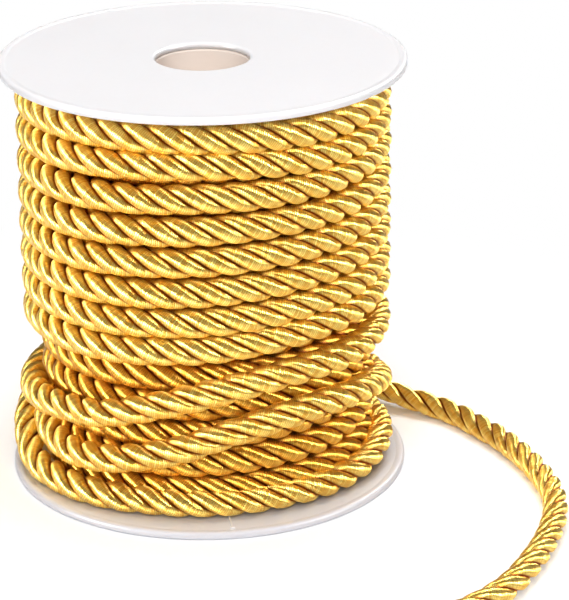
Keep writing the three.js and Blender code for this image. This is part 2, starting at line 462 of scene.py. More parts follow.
class PlyTree:
    """The node tree that lays twisted plies along a cord's centre line.

    The lengths among its inputs are metres. Offset, Radial and Broad share are the distance of
    a ply's centre from the cord's and the ply's half sizes out and across, as shares of the
    cord's radius.
    """

    INPUTS = {
        "Plies": ("NodeSocketInt", 3),
        "Lay": ("NodeSocketFloat", 0.0128),
        "Phase": ("NodeSocketFloat", 0.0),
        "Direction": ("NodeSocketFloat", 1.0),
        "Step": ("NodeSocketFloat", 0.0006),
        "Sides": ("NodeSocketInt", 12),
        "Offset share": ("NodeSocketFloat", 0.46),
        "Radial share": ("NodeSocketFloat", 0.54),
        "Broad share": ("NodeSocketFloat", 0.60),
        "Squareness": ("NodeSocketFloat", 0.86),
        "Tip length": ("NodeSocketFloat", 0.0006),
        "Wander": ("NodeSocketFloat", 0.0001),
        "Unevenness": ("NodeSocketFloat", 0.05),
        "Seed": ("NodeSocketFloat", 1.0),
        "Finish": ("NodeSocketMaterial", None),
    }
    # Waves of unevenness in a metre: in the twist, in a ply's thickness and in the centre line
    DRIFT_RATE = 30.0
    SWELL_RATE = 260.0
    SWAY_RATE = 70.0
    # Points this close in metres are one point, which closes the seam of each ply
    WELD = 0.00001

    def __init__(self) -> None:
        """Builds the tree once for all the stretches."""
        self.tree = bpy.data.node_groups.new("twisted_plies", "GeometryNodeTree")
        face = self.tree.interface
        face.new_socket("Geometry", in_out="INPUT", socket_type="NodeSocketGeometry")
        self.keys = {}
        for name, (kind, start) in self.INPUTS.items():
            made = face.new_socket(name, in_out="INPUT", socket_type=kind)
            if start is not None:
                made.default_value = start
            self.keys[name] = made.identifier
        face.new_socket("Geometry", in_out="OUTPUT", socket_type="NodeSocketGeometry")
        self.sheet = NodeSheet(self.tree)
        self.given = self.tree.nodes.new("NodeGroupInput").outputs
        self._build()

    def _grid(self, length: Socket) -> Socket:
        """Makes one flat strip for each ply, numbered by the attribute ply.

        Args:
            length: Length of the cord.

        Returns:
            The strips as one mesh.
        """
        sheet, given = self.sheet, self.given
        steps = sheet.sum("ADD", sheet.sum("ROUND", sheet.sum("DIVIDE", length, given["Step"])), 1.0)
        around = sheet.sum("ADD", given["Sides"], 1.0)
        strip = sheet.node(
            "GeometryNodeMeshGrid", Size_X=1.0, Size_Y=1.0, Vertices_X=steps, Vertices_Y=around
        )
        single = sheet.node("GeometryNodeGeometryToInstance", Geometry=strip.outputs["Mesh"])
        copies = sheet.node(
            "GeometryNodeDuplicateElements", {"domain": "INSTANCE"},
            Geometry=single.outputs[0], Amount=given["Plies"],
        )
        numbered = sheet.node(
            "GeometryNodeStoreNamedAttribute", {"data_type": "INT", "domain": "INSTANCE"},
            Geometry=copies.outputs["Geometry"], Name="ply", Value=copies.outputs["Duplicate Index"],
        )
        loose = sheet.node("GeometryNodeRealizeInstances", Geometry=numbered.outputs[0])
        return loose.outputs[0]

    def _noise(self, distance: Socket, per_metre: float, shift: float) -> Socket:
        """Makes smooth noise from -1 to 1 along the cord.

        Args:
            distance: Distance along the cord.
            per_metre: Waves in a metre.
            shift: What sets one noise apart from another.

        Returns:
            The noise.
        """
        sheet = self.sheet
        seed = sheet.sum("ADD", self.given["Seed"], shift)
        place = sheet.sum("MULTIPLY_ADD", distance, per_metre, seed)
        noise = sheet.node(
            "ShaderNodeTexNoise", {"noise_dimensions": "1D"}, W=place, Scale=1.0, Detail=1.0
        )
        return sheet.sum("MULTIPLY_ADD", noise.outputs[0], 2.0, -1.0)

    def _squared(self, value: Socket) -> Socket:
        """Flattens a sine or cosine, so that a section turns squarer.

        Args:
            value: The sine or cosine.

        Returns:
            The flattened value, with its sign.
        """
        sheet = self.sheet
        size = sheet.sum("POWER", sheet.sum("ABSOLUTE", value), self.given["Squareness"])
        return sheet.sum("MULTIPLY", sheet.sum("SIGN", value), size)

    def _build(self) -> None:
        """Lays out the nodes.

        A ply's centre circles the cord's, and the strip's short side runs round the ply.
        """
        sheet, given = self.sheet, self.given
        line = given["Geometry"]
        length = sheet.node("GeometryNodeCurveLength", Curve=line).outputs[0]
        strips = self._grid(length)
        place = self.tree.nodes.new("GeometryNodeInputPosition").outputs[0]
        split = sheet.node("ShaderNodeSeparateXYZ", Vector=place)
        share = sheet.sum("ADD", split.outputs["X"], 0.5)
        round_share = sheet.sum("ADD", split.outputs["Y"], 0.5)
        distance = sheet.sum("MULTIPLY", share, length)
        ply = sheet.node("GeometryNodeInputNamedAttribute", {"data_type": "INT"}, Name="ply").outputs[0]

        girth = self.tree.nodes.new("GeometryNodeInputRadius").outputs[0]
        sample = sheet.node(
            "GeometryNodeSampleCurve", {"mode": "LENGTH"}, Curves=line, Value=girth, Length=distance
        )
        along = sample.outputs["Tangent"]
        side = sheet.vector("NORMALIZE", sheet.vector("CROSS_PRODUCT", (0.0, 0.0, 1.0), along))
        raised = sheet.vector("CROSS_PRODUCT", along, side)

        turns = sheet.sum("MULTIPLY", sheet.sum("DIVIDE", distance, given["Lay"]), given["Direction"])
        drift = self._noise(distance, self.DRIFT_RATE, 0.0)
        drift = sheet.sum("MULTIPLY", drift, given["Unevenness"])
        turns = sheet.sum("ADD", sheet.sum("ADD", turns, given["Phase"]), drift)
        turns = sheet.sum("ADD", turns, sheet.sum("DIVIDE", ply, given["Plies"]))
        angle = sheet.sum("MULTIPLY", turns, math.tau)
        cos, sin = sheet.sum("COSINE", angle), sheet.sum("SINE", angle)
        outward = sheet.vector(
            "ADD", sheet.vector("SCALE", side, cos), sheet.vector("SCALE", raised, sin)
        )
        sideways = sheet.vector(
            "SUBTRACT", sheet.vector("SCALE", raised, cos), sheet.vector("SCALE", side, sin)
        )

        section = sheet.sum("MULTIPLY_ADD", round_share, -math.tau, math.pi)
        out_share = self._squared(sheet.sum("COSINE", section))
        wide_share = self._squared(sheet.sum("SINE", section))
        left = sheet.sum("MINIMUM", distance, sheet.sum("SUBTRACT", length, distance))
        tip = sheet.sum("MINIMUM", sheet.sum("DIVIDE", left, given["Tip length"]), 1.0)
        tip = sheet.sum("SQRT", sheet.sum("MULTIPLY", tip, sheet.sum("SUBTRACT", 2.0, tip)))
        ply_place = sheet.sum("ADD", distance, sheet.sum("MULTIPLY", ply, 0.7))
        swell = self._noise(ply_place, self.SWELL_RATE, 7.0)
        swell = sheet.sum("MULTIPLY_ADD", swell, given["Unevenness"], 1.0)
        reach = sheet.sum("MULTIPLY", out_share, given["Radial share"])
        reach = sheet.sum("MULTIPLY", reach, tip)
        reach = sheet.sum("MULTIPLY_ADD", reach, swell, given["Offset share"])
        spread = sheet.sum("MULTIPLY", wide_share, given["Broad share"])
        spread = sheet.sum("MULTIPLY", spread, tip)
        spread = sheet.sum("MULTIPLY", spread, swell)
        radius = sample.outputs["Value"]
        shift = sheet.vector(
            "ADD",
            sheet.vector("SCALE", outward, sheet.sum("MULTIPLY", reach, radius)),
            sheet.vector("SCALE", sideways, sheet.sum("MULTIPLY", spread, radius)),
        )
        strays = [self._noise(distance, self.SWAY_RATE, shift) for shift in (21.0, 43.0, 65.0)]
        sway = sheet.node("ShaderNodeCombineXYZ", X=strays[0], Y=strays[1], Z=strays[2])
        sway = sheet.vector("SCALE", sway.outputs[0], given["Wander"])
        where = sheet.vector("ADD", sheet.vector("ADD", sample.outputs["Position"], shift), sway)

        per_cm = sheet.sum("MULTIPLY", distance, 100.0)
        round_ply = sheet.sum("ADD", ply, round_share)
        layout = sheet.node("ShaderNodeCombineXYZ", X=per_cm, Y=round_ply, Z=0.0)
        mapped = sheet.node(
            "GeometryNodeStoreNamedAttribute", {"data_type": "FLOAT2", "domain": "CORNER"},
            Geometry=strips, Name="UVMap", Value=layout.outputs[0],
        )
        laid = sheet.node("GeometryNodeSetPosition", Geometry=mapped.outputs[0], Position=where)
        closed = sheet.node(
            "GeometryNodeMergeByDistance", Geometry=laid.outputs[0], Distance=self.WELD
        )
        smooth = sheet.node(
            "GeometryNodeSetShadeSmooth", Geometry=closed.outputs[0], Shade_Smooth=True
        )
        real = sheet.node("GeometryNodeRealizeInstances", Geometry=smooth.outputs[0])
        dressed = sheet.node(
            "GeometryNodeSetMaterial", Geometry=real.outputs[0], Material=given["Finish"]
        )
        end = self.tree.nodes.new("NodeGroupOutput")
        self.tree.links.new(dressed.outputs[0], end.inputs[0])

    def apply(
        self, line: bpy.types.Object, name: str, values: dict[str, object]
    ) -> bpy.types.Object:
        """Runs the tree on a curve and keeps the result as a plain mesh.

        Args:
            line: The curve object, which is removed.
            name: The new piece's name.
            values: The tree's inputs by name.

        Returns:
            The mesh object.
        """
        modifier = line.modifiers.new("plies", "NODES")
        modifier.node_group = self.tree
        for key, value in values.items():
            modifier[self.keys[key]] = value
        bpy.context.view_layer.update()
        ready = line.evaluated_get(bpy.context.evaluated_depsgraph_get())
        mesh = bpy.data.meshes.new_from_object(ready, preserve_all_data_layers=True)
        line.modifiers.remove(modifier)
        mesh.name = name
        made = bpy.data.objects.new(name, mesh)
        bpy.context.scene.collection.objects.link(made)
        bpy.data.objects.remove(line)
        return made


@dataclass
class CordStretch:
    """A stretch of twisted cord, made of its plies.

    Attributes:
        name: The piece's name.
        line: Its centre line.
        lay: Length of one full turn of the plies, in millimetres.
        phase: Share of a turn at its start.
        step: Length of a face along the cord, in millimetres.
        sides: Faces round one ply.
        wander: How far the centre strays, in millimetres.
        unevenness: How much the plies swell and shift.
        seed: Start of its noise.
        twist: Which way the plies turn.
        plies: How many plies it has.
        tip: Length of each rounded tip, in millimetres.
    """

    name: str
    line: CordLine
    lay: float
    phase: float = 0.0
    step: float = 0.62
    sides: int = 12
    wander: float = 0.12
    unevenness: float = 0.045
    seed: float = 1.0
    twist: Twist = Twist.RIGHT
    plies: int = 3
    tip: float = 0.6

    def build(self, tree: PlyTree, finish: bpy.types.Material) -> bpy.types.Object:
        """Makes the stretch as one mesh that rides on the reel's body.

        Args:
            tree: The node tree that lays the plies.
            finish: The yarn's material.

        Returns:
            The mesh object.
        """
        made = tree.apply(
            self.line.curve(self.name + "_line"),
            self.name,
            {
                "Plies": self.plies,
                "Lay": self.lay * MM,
                "Phase": self.phase,
                "Direction": float(self.twist.value),
                "Step": self.step * MM,
                "Sides": self.sides,
                "Tip length": self.tip * MM,
                "Wander": self.wander * MM,
                "Unevenness": self.unevenness,
                "Seed": self.seed,
                "Finish": finish,
            },
        )
        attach(made, "root")
        faces = len(made.data.polygons)
        log.info("%s: %.0f mm of cord, %d faces", self.name, self.line.length, faces)
        return made


class ThreadGroup:
    """The shader group for fine thread wrapped round a ply.

    Its coordinates are the ply's own: centimetres along the cord, and whole plies
    plus the share of the way round.
    """

    INPUTS = (
        ("Threads per cm", THREADS_PER_CM), ("Lean", 2.2), ("Waviness", 0.14), ("Stray", 0.12),
    )
    OUTPUTS = (
        ("Height", "NodeSocketFloat"), ("Thread", "NodeSocketFloat"), ("Crown", "NodeSocketFloat"),
        ("Cloud", "NodeSocketFloat"), ("Normal", "NodeSocketVector"),
    )
    # Patches along the cord, and how many threads they bend sideways
    PATCH_SCALE = 4.0
    PATCH_BEND = 4.0
    # Sets the threads of one ply apart from the next ply's
    PLY_STRIDE = 77.0
    # Finer hairs in a thread, along it and across the ply, and their share of the relief
    HAIRS_ALONG = 2.7
    HAIRS_ACROSS = 2.5
    HAIR_RELIEF = 0.3
    # How much a thread tilts for its own number, and the mean that is taken off
    THREAD_TILT = 0.6
    MEAN_TILT = 0.8
    # Palest share that varies from thread to thread, and the share that all have
    OWN_SHADE = 0.65
    COMMON_SHADE = 0.35
    # Where the painted shade in the groove between two threads starts and ends
    GROOVE_PAINTED_SHADE = (0.08, 0.58)

    def __init__(self) -> None:
        """Builds the group once for all the yarn finishes."""
        self.tree = bpy.data.node_groups.new("wrapped_thread", "ShaderNodeTree")
        face = self.tree.interface
        for name, start in self.INPUTS:
            made = face.new_socket(name, in_out="INPUT", socket_type="NodeSocketFloat")
            made.default_value = start
        for name, kind in self.OUTPUTS:
            face.new_socket(name, in_out="OUTPUT", socket_type=kind)
        sheet = NodeSheet(self.tree)
        given = self.tree.nodes.new("NodeGroupInput").outputs
        layout = sheet.node("ShaderNodeUVMap", {"uv_map": "UVMap"}).outputs[0]
        split = sheet.node("ShaderNodeSeparateXYZ", Vector=layout)
        along, across = split.outputs["X"], split.outputs["Y"]
        section = sheet.sum("MULTIPLY_ADD", sheet.sum("FRACT", across), -math.tau, math.pi)

        patches = sheet.node(
            "ShaderNodeTexNoise", Vector=layout, Scale=self.PATCH_SCALE, Detail=1.0
        )
        flow = patches.outputs[0]
        bend = sheet.sum("MULTIPLY", sheet.sum("SUBTRACT", flow, 0.5), given["Waviness"])
        count = sheet.sum("MULTIPLY", along, given["Threads per cm"])
        count = sheet.sum("MULTIPLY_ADD", sheet.sum("SINE", section), given["Lean"], count)
        count = sheet.sum("MULTIPLY_ADD", bend, self.PATCH_BEND, count)
        wave = sheet.sum("SINE", sheet.sum("MULTIPLY", count, math.pi))
        ridge = sheet.sum("ABSOLUTE", wave)
        ply_number = sheet.sum("FLOOR", across)
        number = sheet.sum("MULTIPLY_ADD", ply_number, self.PLY_STRIDE, sheet.sum("FLOOR", count))
        white = sheet.node("ShaderNodeTexWhiteNoise", {"noise_dimensions": "1D"}, W=number)
        each = white.outputs[0]
        strand = sheet.sum("MULTIPLY", count, self.HAIRS_ALONG)
        fine = sheet.node(
            "ShaderNodeCombineXYZ", X=strand, Y=sheet.sum("MULTIPLY", across, self.HAIRS_ACROSS)
        )
        hair = sheet.node("ShaderNodeTexNoise", Vector=fine.outputs[0], Scale=1.0, Detail=1.0)
        hairs = hair.outputs[0]
        height = sheet.sum("MULTIPLY_ADD", hairs, self.HAIR_RELIEF, ridge)

        surface = self.tree.nodes.new("ShaderNodeNewGeometry").outputs["Normal"]
        axis = sheet.node("ShaderNodeTangent", {"direction_type": "UV_MAP", "uv_map": "UVMap"})
        round_way = sheet.vector("CROSS_PRODUCT", surface, axis.outputs[0])
        mixed = sheet.sum("MULTIPLY_ADD", each, self.THREAD_TILT, hairs)
        tilt = sheet.sum("MULTIPLY", sheet.sum("SUBTRACT", mixed, self.MEAN_TILT), given["Stray"])
        swing = sheet.vector("SCALE", round_way, tilt)
        leaning = sheet.vector("NORMALIZE", sheet.vector("ADD", surface, swing))

        end = self.tree.nodes.new("NodeGroupOutput")
        self.tree.links.new(height, end.inputs["Height"])
        # Thread: each thread's own random tone, times painted shade that darkens the groove between
        # threads
        own_shade = sheet.sum("MULTIPLY_ADD", each, self.OWN_SHADE, self.COMMON_SHADE)
        groove_painted_shade = sheet.ramp(ridge, *self.GROOVE_PAINTED_SHADE, 0.0, 1.0)
        shade = sheet.sum("MULTIPLY", own_shade, groove_painted_shade)
        self.tree.links.new(shade, end.inputs["Thread"])
        self.tree.links.new(sheet.sum("COSINE", section), end.inputs["Crown"])
        self.tree.links.new(flow, end.inputs["Cloud"])
        self.tree.links.new(leaning, end.inputs["Normal"])


def new_material(name: str) -> tuple[bpy.types.Material, NodeSheet, bpy.types.Node]:
    """Starts a material.

    Args:
        name: Its name.

    Returns:
        The material, its sheet and its Principled shader.
    """
    material = bpy.data.materials.new(name)
    material.use_nodes = True
    sheet = NodeSheet(material.node_tree)
    shader = next(n for n in material.node_tree.nodes if n.type == "BSDF_PRINCIPLED")
    return material, sheet, shader


@dataclass(frozen=True)
class GoldYarn:
    """Satin yarn, wrapped with fine shiny thread.

    Attributes:
        name: The material's name.
        shadow: Colour of the painted shade between the plies.
        body: Main colour.
        light: Colour of the palest threads.
        roughness: Gloss of the thread.
        sheen: Share of the light that the thread throws back as a metal does.
        threads: Threads to a centimetre of cord.
        relief: Height of the thread relief, in millimetres.
        bump: Strength of that relief.
        valley: Where the painted shade between the plies ends, as the cosine of the way round a ply.
        smoothest: How far the roughness falls in the smooth patches.
        roughest: How far it rises in the rough ones.
        drawn: How far the gloss is drawn out across the thread.
    """

    name: str = "gold_satin_yarn"
    shadow: tuple = (0.22, 0.04, 0.0004)
    body: tuple = (0.72, 0.31, 0.006)
    light: tuple = (0.98, 0.79, 0.22)
    roughness: float = 0.38
    sheen: float = 0.85
    threads: float = THREADS_PER_CM
    relief: float = 0.055
    bump: float = 0.7
    valley: tuple = (-0.16, 0.26)
    smoothest: float = 0.05
    roughest: float = 0.07
    drawn: float = 0.95

    def build(self, threads: ThreadGroup) -> bpy.types.Material:
        """Makes the material.

        Args:
            threads: The group that gives the thread.

        Returns:
            The material.
        """
        material, sheet, shader = new_material(self.name)
        thread = sheet.node("ShaderNodeGroup", {"node_tree": threads.tree})
        thread.inputs["Threads per cm"].default_value = self.threads
        # Painted shade: the colour turns to the shadow colour toward the valleys between the plies
        depth = sheet.ramp(thread.outputs["Crown"], *self.valley, 0.0, 1.0)
        # The pale share is each thread's own tone; the body colour in the thread grooves is painted
        # shade
        pale = sheet.mix(thread.outputs["Thread"], coloured(*self.body), coloured(*self.light))
        sheet.feed(shader.inputs["Base Color"], sheet.mix(depth, coloured(*self.shadow), pale))
        low, high = self.roughness - self.smoothest, self.roughness + self.roughest
        rough = sheet.ramp(thread.outputs["Cloud"], 0.3, 0.7, low, high)
        sheet.feed(shader.inputs["Roughness"], rough)
        shader.inputs["Metallic"].default_value = self.sheen
        shader.inputs["Anisotropic"].default_value = self.drawn
        axis = sheet.node("ShaderNodeTangent", {"direction_type": "UV_MAP", "uv_map": "UVMap"})
        sheet.feed(shader.inputs["Tangent"], axis.outputs[0])
        relief = sheet.node(
            "ShaderNodeBump", Strength=self.bump, Distance=self.relief * MM,
            Height=thread.outputs["Height"], Normal=thread.outputs["Normal"],
        )
        sheet.feed(shader.inputs["Normal"], relief.outputs[0])
        return material


class MouldGroup:
    """The shader group for the faint waves and specks of a moulded or cut face."""

    def __init__(self) -> None:
        """Builds the group once for the reel's finishes."""
        self.tree = bpy.data.node_groups.new("moulded_face", "ShaderNodeTree")
        face = self.tree.interface
        for name, start in (("Wave scale", 60.0), ("Speck scale", 900.0)):
            made = face.new_socket(name, in_out="INPUT", socket_type="NodeSocketFloat")
            made.default_value = start
        for name in ("Waves", "Specks"):
            face.new_socket(name, in_out="OUTPUT", socket_type="NodeSocketFloat")
        sheet = NodeSheet(self.tree)
        given = self.tree.nodes.new("NodeGroupInput").outputs
        place = self.tree.nodes.new("ShaderNodeTexCoord").outputs["Object"]
        waves = sheet.node(
            "ShaderNodeTexNoise", Vector=place, Scale=given["Wave scale"], Detail=2.0
        )
        specks = sheet.node(
            "ShaderNodeTexNoise", Vector=place, Scale=given["Speck scale"], Detail=3.0
        )
        end = self.tree.nodes.new("NodeGroupOutput")
        self.tree.links.new(waves.outputs[0], end.inputs["Waves"])
        self.tree.links.new(specks.outputs[0], end.inputs["Specks"])


@dataclass(frozen=True)
class ReelFace:
    """A face of the reel: glossy moulded plastic or the matt tube.

    Attributes:
        name: The material's name.
        dull: Colour in the hollows of its waves.
        clear: Colour on their crests.
        roughness: Middle of its roughness.
        spread: How far the roughness strays.
        relief: Height of its waves, in millimetres.
        glow: Weight of light scattered inside it.
        bump: Strength of the waves.
        glow_radius: How far red, green and blue light scatter, as shares of the glow's depth.
        glow_depth: Depth of the scattered light, in metres.
    """

    name: str
    dull: tuple
    clear: tuple
    roughness: float
    spread: float
    relief: float
    glow: float
    bump: float = 0.06
    glow_radius: tuple = (1.0, 0.8, 0.7)
    glow_depth: float = 0.001

    def build(self, moulded: MouldGroup) -> bpy.types.Material:
        """Makes the material.

        Args:
            moulded: The group that gives the waves and specks.

        Returns:
            The material.
        """
        material, sheet, shader = new_material(self.name)
        face = sheet.node("ShaderNodeGroup", {"node_tree": moulded.tree})
        colour = sheet.mix(face.outputs["Waves"], coloured(*self.dull), coloured(*self.clear))
        sheet.feed(shader.inputs["Base Color"], colour)
        low, high = self.roughness - self.spread, self.roughness + self.spread
        rough = sheet.ramp(face.outputs["Specks"], 0.3, 0.7, low, high)
        sheet.feed(shader.inputs["Roughness"], rough)
        height = sheet.sum("MULTIPLY_ADD", face.outputs["Specks"], 0.15, face.outputs["Waves"])
        relief = sheet.node(
            "ShaderNodeBump", Strength=self.bump, Distance=self.relief * MM, Height=height
        )
        sheet.feed(shader.inputs["Normal"], relief.outputs[0])
        shader.inputs["Subsurface Weight"].default_value = self.glow
        shader.inputs["Subsurface Radius"].default_value = self.glow_radius
        shader.inputs["Subsurface Scale"].default_value = self.glow_depth
        return material


def supported(outline: Outline, margin: float = 0.00015, shortest: float = 0.0009) -> Outline:
    """Adds a point near both ends of each long side, which keeps smooth faces flat.

    Args:
        outline: Points of radius and height in metres.
        margin: Distance of the new points from the corners, in metres.
        shortest: Length over which a side counts as long, in metres.

    Returns:
        The outline with its new points.
    """
    points = []
    for here, following in zip(outline, outline[1:] + outline[:1]):
        points.append(here)
        length = math.dist(here, following)
        if length > shortest:
            for share in (margin / length, 1 - margin / length):
                points.append(tuple(a + (b - a) * share for a, b in zip(here, following)))
    return points


def turned(
    name: str, outline: Outline, segments: int, material: bpy.types.Material
) -> bpy.types.Object:
    """Turns a closed outline round the reel's axis.

    Args:
        name: The piece's name.
        outline: Points of radius and height in metres, anticlockwise.
        segments: Faces round the axis.
        material: The piece's finish.

    Returns:
        The mesh object, with smooth faces.
    """
    outline = supported(outline)
    count = len(outline)
    bearings = np.linspace(0, math.tau, segments, endpoint=False)
    radius, height = np.array(outline, float).T
    points = np.stack(
        [
            np.outer(np.cos(bearings), radius),
            np.outer(np.sin(bearings), radius),
            np.tile(height, (segments, 1)),
        ],
        axis=2,
    ).reshape(-1, 3)
    faces = []
    for column in range(segments):
        here, following = column * count, (column + 1) % segments * count
        for i in range(count):
            j = (i + 1) % count
            faces.append((here + i, following + i, following + j, here + j))
    mesh = bpy.data.meshes.new(name)
    mesh.from_pydata(points.tolist(), [], faces)
    mesh.shade_smooth()
    mesh.materials.append(material)
    made = bpy.data.objects.new(name, mesh)
    bpy.context.scene.collection.objects.link(made)
    return made


def rounded(
    centre: tuple[float, float], radius: float, start: float, steps: int = 4
) -> Outline:
    """Lists the points of a quarter round.

    Args:
        centre: Radius and height of its centre, in metres.
        radius: Its own radius, in metres.
        start: Its starting angle, in degrees.
        steps: Its number of faces.

    Returns:
        The points, anticlockwise.
    """
    angles = [math.radians(start + 90 * i / steps) for i in range(steps + 1)]
    return [(centre[0] + radius * math.cos(a), centre[1] + radius * math.sin(a)) for a in angles]


@dataclass
class Reel:
    """The plastic reel, whose sizes are read from the imported parts.

    Attributes:
        segments: Faces round a flange.
        bead: Radius of the rounded rim, in metres.
        bore_rounding: Radius of the rounded edge of the hole, in metres.
        step_in: Width of the raised rim band, in metres.
        step_slope: Width of the slope from that band down to the face, in metres.
        step_height: Height of that band, in metres.
        tube_ease: Width of the softened edges of the tube, in metres.
        gate_bearing: Where the gate mark lies, in degrees.
        gate_parts: Rib and pip of the gate mark: its inner and outer radius, half its width
            and its rise, in millimetres.
        gate_ease: How far their tops draw in at the ends, in millimetres.
        gate_taper: The same at the sides, as a share of that.
        gate_root: How far they reach down into the flange, in millimetres.
    """

    segments: int = 160
    bead: float = 0.00045
    bore_rounding: float = 0.0005
    step_in: float = 0.0011
    step_slope: float = 0.0002
    step_height: float = 0.00012
    tube_ease: float = 0.0001
    gate_bearing: float = 276.3
    gate_parts: tuple = ((26.4, 30.6, 0.16, 0.14), (30.3, 31.1, 0.42, 0.20))
    gate_ease: float = 0.10
    gate_taper: float = 0.6
    gate_root: float = 0.2
    bore: float = field(init=False)

    def __post_init__(self) -> None:
        """Reads the bore from the hub's innermost points."""
        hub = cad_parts["reel_hub"].data.vertices
        self.bore = min(math.hypot(v.co.x, v.co.y) for v in hub)

    def flange(self, node: str, material: bpy.types.Material) -> bpy.types.Object:
        """Makes one flange with a soft rim, a rim band and a rounded hole.

        Args:
            node: The solid it stands in for.
            material: Its plastic.

        Returns:
            The mesh object.
        """
        low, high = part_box(node)
        radius, foot, top = high.x, low.z, high.z
        face = top - self.step_height
        edge = radius - self.bead
        band = radius - self.step_in
        rounding = self.bore_rounding
        inner = self.bore + rounding
        outline = rounded((inner, foot + rounding), rounding, 180)
        outline += rounded((edge, foot + self.bead), self.bead, 270)
        outline += rounded((edge, top - self.bead), self.bead, 0)
        outline += [(band, top), (band - self.step_slope, face)]
        outline += rounded((inner, face - rounding), rounding, 90)
        made = turned(node + "_moulded", outline, self.segments, material)
        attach(made, "root")
        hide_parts(node)
        log.info("%s: %.1f mm across", made.name, radius * 2 / MM)
        return made

    def gate(self, material: bpy.types.Material) -> bpy.types.Object:
        """Makes the gate mark on the lower flange: a fine rib out to a small pip near the rim.

        Args:
            material: Its plastic.

        Returns:
            The mesh object.
        """
        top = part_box("reel_flange_bottom")[1].z
        bearing = math.radians(self.gate_bearing)
        out = Vector((math.cos(bearing), math.sin(bearing), 0.0))
        side = Vector((-out.y, out.x, 0.0))
        points, faces = [], []
        for start, end, half, rise in self.gate_parts:
            first = len(points)
            for lift, ease in ((-self.gate_root, 0.0), (rise, self.gate_ease)):
                near, far = start + ease, end - ease
                for reach, share in ((near, -1), (far, -1), (far, 1), (near, 1)):
                    spot = (out * reach + side * share * (half - ease * self.gate_taper)) * MM
                    points.append((spot.x, spot.y, top + lift * MM))
            faces.append([first + i for i in (3, 2, 1, 0)])
            faces.append([first + i for i in (4, 5, 6, 7)])
            for i in range(4):
                j = (i + 1) % 4
                faces.append([first + i, first + j, first + 4 + j, first + 4 + i])
        mesh = bpy.data.meshes.new("gate_mark")
        mesh.from_pydata(points, [], faces)
        mesh.materials.append(material)
        made = bpy.data.objects.new("gate_mark", mesh)
        bpy.context.scene.collection.objects.link(made)
        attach(made, "root")
        log.info("%s: at bearing %.0f", made.name, self.gate_bearing)
        return made

    def hub(self, material: bpy.types.Material) -> bpy.types.Object:
        """Makes the tube with softened ends, butted against the flanges.

        Args:
            material: Its board.

        Returns:
            The mesh object.
        """
        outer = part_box("reel_hub")[1].x
        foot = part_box("reel_flange_bottom")[1].z
        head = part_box("reel_flange_top")[0].z
        ease, inner = self.tube_ease, self.bore
        outline = [
            (inner, foot + ease), (inner + ease, foot), (outer - ease, foot), (outer, foot + ease),
            (outer, head - ease), (outer - ease, head), (inner + ease, head), (inner, head - ease),
        ]
        made = turned("reel_hub_tube", outline, self.segments, material)
        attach(made, "root")
        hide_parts("reel_hub")
        log.info("%s: bore %.1f mm", made.name, inner * 2 / MM)
        return made


